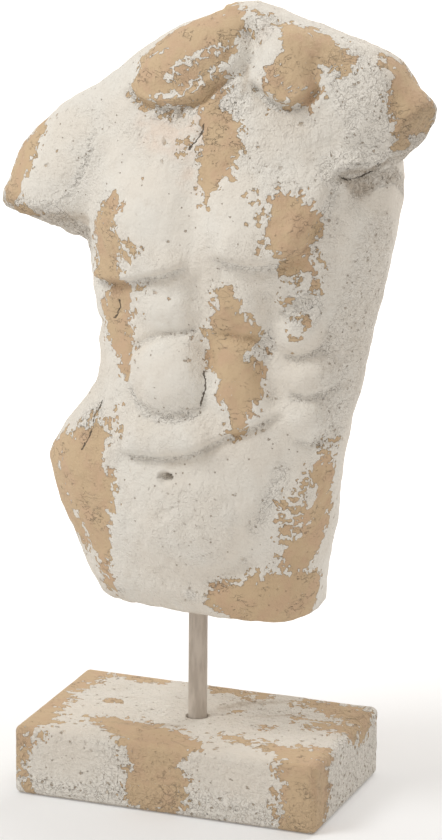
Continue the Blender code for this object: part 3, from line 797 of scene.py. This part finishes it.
# %% A mesh from a grid
def closed_skin(name, grid, fields):
    """A mesh of quads from a grid that closes round u; its first and last rows are points."""
    rows, n = grid.shape[:2]
    count = (rows - 2) * n + 2
    ring = 1 + np.arange(count - 2).reshape(rows - 2, n)
    after = np.roll(ring, -1, 1)
    quads = np.stack([ring[:-1], after[:-1], after[1:], ring[1:]], -1).reshape(-1, 4)
    under = np.stack([np.zeros(n, int), after[0], ring[0]], -1)
    over = np.stack([ring[-1], after[-1], np.full(n, count - 1)], -1)

    def on_points(values):
        """The rows of the grid as one list of points, a single point for each pole."""
        return np.concatenate([values[:1, 0], values[1:-1].reshape(-1, *values.shape[2:]), values[-1:, 0]])

    mesh = bpy.data.meshes.new(name)
    mesh.from_pydata(on_points(grid).tolist(), [], quads.tolist() + under.tolist() + over.tolist())
    for field, values in fields.items():
        numbers = mesh.attributes.new(field, "FLOAT", "POINT")
        numbers.data.foreach_set("value", on_points(values.reshape(rows, n)).astype(np.float32))
    mesh.shade_smooth()
    print(name, "has", 2 * len(quads) + 2 * n, "triangles")
    return add_object(name, mesh)


torso = closed_skin("torso_skin", skin, {
    "bare": bare, "crumbly": crumbly, "netted": netted, "blush": blush, "grime_and_shade": grime_and_shade,
    "crack_side": crack_side, "crack": crack})

# %% [markdown]
# The block is cast like the torso and coated like it. Its skin is one surface as
# well: u runs round a rectangle with round corners, and v runs from the middle of
# the underside out to the edge, up the side, over the top edge and in over the top
# to the rod's hole, where it goes down the bore. On the top each ring is a share of
# the way from the rectangle to the rod's circle.

# %% The block
EDGE = 4.5                      # radius of the rounded edges, mm
LEAST_CORNER = 0.06 * EDGE      # radius that the outline's corners keep on the flat faces, mm
HOLE, HOLE_DEPTH = 6.6, 30.6
half_x, half_y, tall = (block_high - block_low) / MM * (0.5, 0.5, 1.0)
CORNER_STEPS, SHORT_STEPS, LONG_STEPS = 8, 84, 140
steps = [CORNER_STEPS, SHORT_STEPS, CORNER_STEPS, LONG_STEPS] * 2
knots = np.concatenate([[0], np.cumsum(steps)])
where = np.arange(knots[-1])
corner_x = np.array([1, 1, 1, 1, -1, -1, -1, -1, 1]) * (half_x - EDGE)
corner_y = np.array([-1, -1, 1, 1, 1, 1, -1, -1, -1]) * (half_y - EDGE)
centre = np.stack([np.interp(where, knots, corner_x), np.interp(where, knots, corner_y)], -1)
facing = np.radians(np.interp(where, knots, [-90, 0, 0, 90, 90, 180, 180, 270, 270]))
outward = np.stack([np.cos(facing), np.sin(facing)], -1)


def ring_at(inset, z, pull, radius):
    """Outline at an inset, a share `pull` of the way to a circle of `radius`, at height z."""
    outline = centre + np.maximum(EDGE - inset, LEAST_CORNER) * outward
    turn = np.arctan2(outline[:, 1], outline[:, 0])
    circle = radius * np.stack([np.cos(turn), np.sin(turn)], -1)
    flat = outline + (circle - outline) * pull
    return np.concatenate([flat, np.full((len(flat), 1), z)], 1)


bend = np.radians(np.linspace(0, 90, 7))
profile = ([(EDGE, 0.0, pull, 0.0) for pull in np.linspace(1, 0, 9)]
           + [(EDGE * (1 - np.sin(a)), EDGE * (1 - np.cos(a)), 0, 0) for a in bend[1:]]
           + [(0, z, 0, 0) for z in np.linspace(EDGE, tall - EDGE, 32)[1:-1]]
           + [(EDGE * (1 - np.cos(a)), tall - EDGE * (1 - np.sin(a)), 0, 0) for a in bend]
           + [(EDGE, tall, pull, HOLE) for pull in np.linspace(0, 1, 56)[1:]]
           + [(EDGE, tall - depth, 1, HOLE) for depth in (1.5, 15.0, HOLE_DEPTH)]
           + [(EDGE, tall - HOLE_DEPTH, 1, 0.0)])
block_form = np.stack([ring_at(*row) for row in profile])
block_points = block_form.reshape(-1, 3)
print("block of", block_form.shape[0], "rows and", block_form.shape[1], "columns")

# %% Where the block's coat is off
def within(chains):
    """Millimetres inside the nearest chain of balls, each (x, y, z, radius), tapering between two."""
    best = np.full(len(block_points), -40.0)
    for chain in chains:
        balls = np.array(chain if len(chain) > 1 else chain * 2, float)
        for a, b in zip(balls, balls[1:]):
            run = b[:3] - a[:3]
            t = np.clip((block_points - a[:3]) @ run / max(run @ run, 1e-9), 0.0, 1.0)
            far = far_off(block_points - a[:3] - t[:, None] * run)
            best = np.maximum(best, a[3] + (b[3] - a[3]) * t - far)
    return best


block_bare = within([
    [(-100, -60, 9, 5), (-99, -60, 20, 8), (-98, -60, 40, 10)], [(-92, -60, 5, 4)],
    [(-4, -60, 44, 24), (-4, -60, 33, 17), (-5, -60, 21, 22), (-9, -60, 13, 17), (-9, -60, 4, 10)],
    [(-56, -30, 45, 7), (-34, -36, 45, 15), (-8, -44, 45, 17), (12, -52, 45, 11)],
    [(90, -60, 42, 17), (90, -60, 27, 15), (92, -60, 4, 14)],
    [(66, -36, 45, 9), (86, -44, 45, 16), (98, -36, 45, 10)], [(44, -31, 45, 5), (28, -32, 45, 4)],
    [(100, -52, 40, 15), (100, -50, 20, 16), (100, -54, 4, 14)],
    [(-92, 52, 45, 15), (-100, 12, 45, 13), (-98, -14, 45, 14), (-92, -46, 45, 16)],
    [(-72, 60, 45, 12), (-45, 56, 45, 9)], [(-8, 54, 45, 8), (24, 52, 45, 9)],
    [(57, 50, 45, 9), (82, 44, 45, 14), (98, 34, 45, 14)], [(80, 12, 45, 8), (98, 12, 45, 9)],
    [(48, -4, 45, 3)], [(-60, 4, 45, 4)], [(60, 20, 45, 4)], [(20, 16, 45, 3)],
    [(-100, 24, 34, 12), (-100, 34, 12, 9)], [(-100, -34, 10, 9)],
    [(-52, 60, 36, 16), (-40, 60, 14, 12)], [(44, 60, 12, 15), (78, 60, 24, 10)],
])
block_x, block_y, block_z = block_points.T
right_face = smoothstep((block_x - half_x + 8) / 8)
front_foot = smoothstep((-half_y + 6 - block_y) / 6) * smoothstep((20 - block_z) / 16)
on_top = smoothstep((block_z - tall + 3) / 3)
block_crumbly = np.clip(0.58 + 0.65 * right_face + 0.6 * front_foot - 0.25 * on_top
                        + 0.8 * cloud(block_points, 34, 61, 2), 0.0, 1.0)
rim = np.hypot(block_x, block_y)
# Painted shade in the gap round the rod: a dark ring just outside its hole.
hole_rim_shade = 0.8 * smoothstep((HOLE + 1.2 - rim) / 1.2)
scuffs = within([
    [(9, 17, 45, 4), (20, 32, 45, 6), (44, 46, 45, 3)], [(30, 10, 45, 2), (62, 26, 45, 3)],
    [(-44, -30, 45, 3), (-24, -28, 45, 5), (-4, -21, 45, 3)]])
# A painted shadow line along the foot of the block, where it stands on the floor.
foot_shadow_line = smoothstep((3.0 - block_z) / 2.5)
# The block's dirt field: dirt from the scuffs, with the painted shade round the rod and along the foot.
block_grime_and_shade = np.maximum.reduce([hole_rim_shade, np.clip(scuffs / 8 + 0.35, 0.0, 0.8), foot_shadow_line])
print("bare share of the block:", round(float((block_bare > 0).mean()), 2))

# %% Bring the block to its place
rough = 0.9 * cloud(block_points, 6, 81, 2) + 0.7 * cloud(block_points, 3, 91, 1)
coat = 0.8 * cloud(block_points, 17, 71, 2) + block_crumbly * rough - 0.1
coat = np.where(block_bare > 0, 0.35 * coat - 0.25, coat)
solid_row = smoothstep(block_z / EDGE - 0.3) * smoothstep((rim - HOLE - 0.5) / 2.5)
block_out = grid_normals(block_form).reshape(-1, 3)
moved = block_points + block_out * (np.minimum(coat, 0.0) * solid_row)[:, None]
chipped = np.array([-0.75, -0.66, 0.0])
gap = 0.9 * np.clip((moved * chipped).sum(1) / np.maximum(rim, 1e-6), 0, 1)**2
gap = gap * smoothstep((HOLE + 3 - rim) / 3) * smoothstep((moved[:, 2] - tall + 4) / 4)
moved[:, :2] *= (1 + gap / np.maximum(rim, 1e-6))[:, None]
middle = (block_high + block_low) / 2 * (1, 1, 0)
block_skin = np.clip(moved * MM + middle, block_low, block_high).reshape(block_form.shape)
still = np.zeros(len(block_points))
block = closed_skin("block_skin", block_skin, {
    "bare": block_bare, "crumbly": block_crumbly, "netted": still, "blush": still, "grime_and_shade": block_grime_and_shade,
    "crack_side": still + 99.0, "crack": still})

# %% [markdown]
# The rod is a painted steel bar that the casting and the block hold. It is a radius
# carried up a straight line, with the faint dents and runs of a hand-painted bar,
# and always a little inside the solid rod.

# %% The rod
ROD_ROUND, ROD_ROWS, DENT = 96, 84, 0.16
rod_radius = (rod_high[0] - rod_low[0]) / 2 / MM
rod_v, rod_u = np.meshgrid(np.linspace(rod_low[2], rod_high[2], ROD_ROWS) / MM,
                           np.arange(ROD_ROUND) / ROD_ROUND * 2 * np.pi, indexing="ij")
round_points = np.stack([rod_radius * np.cos(rod_u), rod_radius * np.sin(rod_u), rod_v * 0.35], -1)
dents = DENT * (cloud(round_points.reshape(-1, 3), 7, 101, 3) - 0.5).reshape(rod_u.shape)
radii = rod_radius + np.clip(dents, -DENT, 0.0)
rod_form = np.stack([radii * np.cos(rod_u), radii * np.sin(rod_u), rod_v], -1)
ends = rod_form[[0, -1]] * (0.0, 0.0, 1.0)
rod_form = np.concatenate([ends[:1], rod_form, ends[1:]])
rod = closed_skin("rod_skin", rod_form * MM, {})
print("rod radius", round(float(rod_radius), 2), "mm")

# %% [markdown]
# The finish has two layers. The casting below is sand-coloured, smooth and a little
# uneven in tone. The plaster on it is chalky white with brush marks, pinholes and
# crumbly places. Where it has flaked off, the border is ragged and crisp, so the
# smooth field `bare` gets noise of four sizes before it is cut off at 0. Thin veins
# of white follow the lines where a noise passes its middle value. The white layer
# stands 0.4 mm proud, which the Bump node shows as a lit rim; beside it a painted
# highlight lightens the white side and a painted shadow line darkens the sand side.
# Crumbly places are lightened with painted light against the shade of their bumps.

# %% Plaster
CHALK, CHALK_WARM, CHALK_DEEP = (0.79, 0.755, 0.69), (0.78, 0.725, 0.645), (0.67, 0.61, 0.53)
# The bright chalk is painted light: it lightens crumbly places against the shade of their own bumps, and
# paints a highlight along the white side of each flaked edge.
CHALK_LIT, SOOT_DARK = (0.86, 0.82, 0.75), (0.11, 0.085, 0.06)
SAND, SAND_PINK, SAND_DEEP = (0.60, 0.445, 0.280), (0.59, 0.415, 0.27), (0.50, 0.36, 0.225)
# The last brown of this row colours the dirt layer, which also paints shade in creases and hollows.
ROSE, PIT, SOOT_AND_SHADE = (0.80, 0.655, 0.545), (0.38, 0.285, 0.195), (0.38, 0.285, 0.19)


def plaster(name, grain):
    """Peeling plaster; `grain` says how strongly the coat is pitted all over."""
    coat = Finish(name)
    bare, crumbly, grime_and_shade = coat.field("bare"), coat.field("crumbly"), coat.field("grime_and_shade")
    small, smaller = coat.noise(0.0042, 3.0, 0.6), coat.noise(0.0014, 2.0, 0.6)
    edge = bare + (coat.noise(0.015, 1.5, 0.5) - 0.5) * 15.0 \
        + (coat.noise(0.0052, 2.0, 0.5) - 0.5) * (24.0 + grain * 40.0) \
        + (coat.noise(0.0024, 1.5, 0.5) - 0.5) * (11.0 + grain * 40.0) + (smaller - 0.5) * 4.0 - 0.4
    net = abs(coat.noise(0.0065, 2.0, 0.5) - 0.5) * 30.0 + (small - 0.5) * 5.0
    edge = edge.least(net - 1.7 + (1.0 - coat.field("netted")) * 14.0)
    flaked = edge.rise(-0.45, 0.45)
    spots = coat.pores(0.0075, 0.0016, 0.30, smaller) * bare.rise(-14.0, -7.0)
    spots = spots.most(coat.pores(0.021, 0.0013, 0.30, smaller))
    bare_mask = flaked.most(spots)
    layer = edge.rise(2.6, -2.6).least(1.0 - spots)

    pits = coat.pores(0.0044, 0.0007, 0.22 + grain).most(coat.pores(0.0105, 0.0010, 0.30, smaller))
    rough_pits = coat.pores(0.0037, 0.0009, 0.30, smaller) * crumbly.rise(0.3, 0.75)
    pits = pits.most(rough_pits).most(coat.pores(0.0062, 0.0012, grain * 2.0, smaller))
    holes = coat.pores(0.0048, 0.0010, 0.30, smaller) * crumbly.rise(0.84, 0.99)
    crumbs = smaller.rise(0.46, 0.34) * crumbly.rise(0.15, 0.8)
    scale = coat.noise(0.0040, 2.5, 0.55)
    chinks = scale.band(0.458, 0.480, 0.480, 0.502) * crumbly.rise(0.40, 0.85)
    wander = (coat.noise(0.006, 2.0, 0.5) - 0.5) * 5.0 + (smaller - 0.5) * 2.0
    width = (coat.noise(0.007, 2.0, 0.5) - 0.36) * 2.1
    line = (abs(coat.field("crack_side") + wander) - width).rise(0.30, 0.0)
    line = line * coat.field("crack").rise(0.15, 0.5)

    blushing = coat.field("blush").rise(0.0, 1.0) * coat.noise(0.012, 2.0).rise(0.3, 0.6)
    tone = coat.over(
        CHALK, (coat.noise(0.045, 2.0).rise(0.35, 0.65), CHALK_WARM),
        (coat.noise(0.011, 3.0, 0.65).rise(0.52, 0.78) * 0.45, CHALK_DEEP),
        # crumbly places lightened with painted light
        (blushing * 0.6, ROSE), (grain * 2.4, CHALK_DEEP), (crumbly.rise(0.35, 0.9) * 0.8, CHALK_LIT),
        (crumbs * (0.14 + grain), PIT), (chinks * (0.20 + grain), PIT),
        # painted highlight on the white side of the flaked edge
        (edge.rise(-2.6, -1.2) * 0.45, CHALK_LIT), (pits * 0.72, PIT), (holes * 0.62, SOOT_DARK))
    grainy = coat.noise(0.0075, 2.5, 0.6, (1.0, 1.0, 1.8))
    fissure = grainy.band(0.478, 0.490, 0.492, 0.504) * coat.noise(0.016, 2.0).rise(0.50, 0.62)
    sand = coat.over(
        SAND, (coat.noise(0.013, 2.0).rise(0.42, 0.66), SAND_PINK),
        (coat.noise(0.006, 3.0, 0.65).rise(0.55, 0.75) * 0.6, SAND_DEEP),
        (grain * 1.5, SAND_DEEP), (smaller.rise(0.70, 0.78) * 0.7, CHALK),
        (fissure.most(coat.pores(0.0060, 0.0007, 0.25)) * 0.6, PIT),
        # painted shadow line on the sand just below the plaster's flaked edge
        (edge.band(0.2, 0.7, 0.9, 1.9) * 0.35, SAND_DEEP))
    # The dirt field lays brown over the coat: dirt, and painted shade in creases, hollows, under the torso
    # and round the rod.
    dirt_and_shade = grime_and_shade + (small - 0.5) * 1.1 + (smaller - 0.5) * 1.1 - 0.1
    colour = coat.over(tone, (bare_mask, sand), (dirt_and_shade.rise(0.05, 1.1) * 0.55, SOOT_AND_SHADE), (line * 0.9, SOOT_DARK))

    grit = coat.pores(0.0034, 0.0011, 0.45) * (0.10 + crumbly * 0.35)
    brushed = coat.noise(0.0085, 2.0, 0.5) * 1.2 + smaller * (0.35 + crumbly * 1.5) \
        + small * (0.45 + crumbly * 2.6) + scale.rise(0.46, 0.53) * crumbly.rise(0.40, 0.85) * 0.8
    height = layer * 0.40 + brushed * (1.0 - bare_mask * 0.4) + grit * layer - pits * 0.7 \
        - holes * 1.2 - line * 1.2 - fissure * bare_mask * 0.8
    coat.wear(colour, 0.94 - bare_mask * 0.12, height)
    return coat.material


torso.data.materials.append(plaster("peeling plaster on the torso", 0.0))
block.data.materials.append(plaster("peeling plaster on the block", 0.16))
print("plaster laid on")

# %% [markdown]
# The rod was painted a warm grey to match the plaster and has caught some of it:
# pale runs along its length, with small dark specks.

# %% Rod paint and the floor
GREIGE_DARK, GREIGE_PALE = (0.485, 0.425, 0.365), (0.63, 0.565, 0.495)

paint = Finish("greige paint")
runs = paint.noise(0.006, 3.0, 0.55, (1.0, 1.0, 0.22))
specks = paint.pores(0.0042, 0.00045, 0.35)
paint.wear(paint.over(GREIGE_DARK, (runs.rise(0.38, 0.64), GREIGE_PALE), (specks * 0.7, PIT)),
           0.52 + runs * 0.25, runs * 0.25 + paint.noise(0.0016) * 0.08 - specks * 0.2)
rod.data.materials.append(paint.material)

pale = Finish("glowing pale floor")
pale.shader.inputs["Roughness"].default_value = 0.9
# The floor glows: painted light, full behind the stand and about a quarter as strong in front, where its
# colour is also a little darker.
depth = pale.node("ShaderNodeVectorMath", {"operation": "DOT_PRODUCT"},
                  {0: pale.place(), 1: (-np.sin(TURN), np.cos(TURN), 0.0)}, out="Value")
near = depth.rise(0.8, -0.15)
pale.feed(pale.shader.inputs["Base Color"], pale.mix(near, (0.80, 0.80, 0.80), (0.74, 0.74, 0.74)))
pale.feed(pale.shader.inputs["Emission Color"], pale.mix(near, (1.0, 1.0, 1.0), (0.26, 0.26, 0.26)))
pale.shader.inputs["Emission Strength"].default_value = 0.60
floor.data.materials.append(pale.material)
print("rod painted, floor laid")

# %% [markdown]
# Last, each skin is tied to the solid it stands for. Nothing moves on this object,
# so every piece rides on the one body.

# %% Tie the pieces to the frame
for piece, node, slot in ((torso, "torso", "torso_plaster"), (block, "plinth", "plinth_plaster"),
                          (rod, "rod", "rod_paint")):
    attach(piece, "root")
    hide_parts(node)
